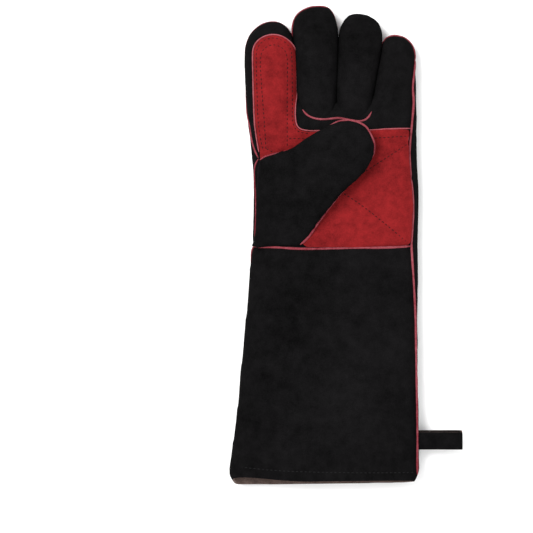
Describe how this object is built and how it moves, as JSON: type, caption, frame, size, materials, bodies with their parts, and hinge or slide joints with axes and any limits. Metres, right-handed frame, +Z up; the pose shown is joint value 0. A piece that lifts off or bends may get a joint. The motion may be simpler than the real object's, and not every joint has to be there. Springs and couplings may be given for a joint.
{
  "type": "heat resistant gauntlet glove",
  "caption": "Long split-leather gauntlet glove for a hot grill, left hand, with a padded palm patch, piped seams, lined cuff, riveted blank tab and hang loop.",
  "frame": {"origin": "centre of the flat back of the hand, which is the face the glove lies on", "axes": "+Z up out of the palm, +Y to the fingertips, +X to the little finger"},
  "size_m": [0.198, 0.406, 0.0488],
  "materials": {
    "black_suede": "split suede, matt",
    "red_suede": "split suede, matt",
    "red_welt": "thin split leather strip, matt",
    "lining": "brushed cotton fleece",
    "felt": "needled felt",
    "rivet": "black coated steel, satin"
  },
  "bodies": {
    "hand": {"hand_back_panel": "black_suede", "palm_panel": "black_suede", "palm_patch": "red_suede", "palm_padding": "felt", "thumb_foot": "black_suede", "hand_lining": "lining", "wrist_welt": "red_welt", "hand_welt_radial": "red_welt", "hand_welt_ulnar": "red_welt", "finger_insert_welt": "red_welt"},
    "index": {"index_back": "black_suede", "index_front": "black_suede", "index_lining": "lining", "index_welt": "red_welt", "index_patch": "red_suede"},
    "middle": {"middle_back": "black_suede", "middle_front": "black_suede", "middle_lining": "lining", "middle_welt": "red_welt"},
    "ring": {"ring_back": "black_suede", "ring_front": "black_suede", "ring_lining": "lining", "ring_welt": "red_welt"},
    "little": {"little_back": "black_suede", "little_front": "black_suede", "little_lining": "lining", "little_welt": "red_welt"},
    "thumb": {"thumb_inner_panel": "black_suede", "thumb_outer_panel": "black_suede", "thumb_lining": "lining", "thumb_welt": "red_welt"},
    "cuff": {"cuff_back_panel": "black_suede", "cuff_palm_panel": "black_suede", "cuff_lining": "lining", "cuff_hem": "black_suede", "cuff_welt_radial": "red_welt", "cuff_welt_ulnar": "red_welt", "name_tab": "red_suede", "rivet_caps": "rivet", "rivet_posts": "rivet", "rivet_washers": "rivet"},
    "loop": {"hang_loop": "black_suede"}
  },
  "joints": [
    {"name": "index_flex", "type": "hinge", "parent": "hand", "child": "index", "pos_m": [-0.0547, 0.058, 0.0258], "axis": [1, 0, 0], "range_deg": [0, 85]},
    {"name": "middle_flex", "type": "hinge", "parent": "hand", "child": "middle", "pos_m": [-0.0151, 0.058, 0.0258], "axis": [1, 0, 0], "range_deg": [0, 85]},
    {"name": "ring_flex", "type": "hinge", "parent": "hand", "child": "ring", "pos_m": [0.0221, 0.058, 0.0258], "axis": [1, 0, 0], "range_deg": [0, 85]},
    {"name": "little_flex", "type": "hinge", "parent": "hand", "child": "little", "pos_m": [0.0563, 0.058, 0.0258], "axis": [1, 0, 0], "range_deg": [0, 85]},
    {"name": "thumb_lift", "type": "hinge", "parent": "hand", "child": "thumb", "pos_m": [-0.0452, -0.019, 0.0278], "axis": [0.4399, -0.898, 0], "range_deg": [0, 90]},
    {"name": "wrist_flex", "type": "hinge", "parent": "hand", "child": "cuff", "pos_m": [0.0015, -0.058, 0.0258], "axis": [-1, 0, 0], "range_deg": [0, 60]},
    {"name": "loop_swing", "type": "hinge", "parent": "cuff", "child": "loop", "pos_m": [0.0755, -0.2215, 0.0148], "axis": [0, -1, 0], "range_deg": [-15, 65]}
  ]
}
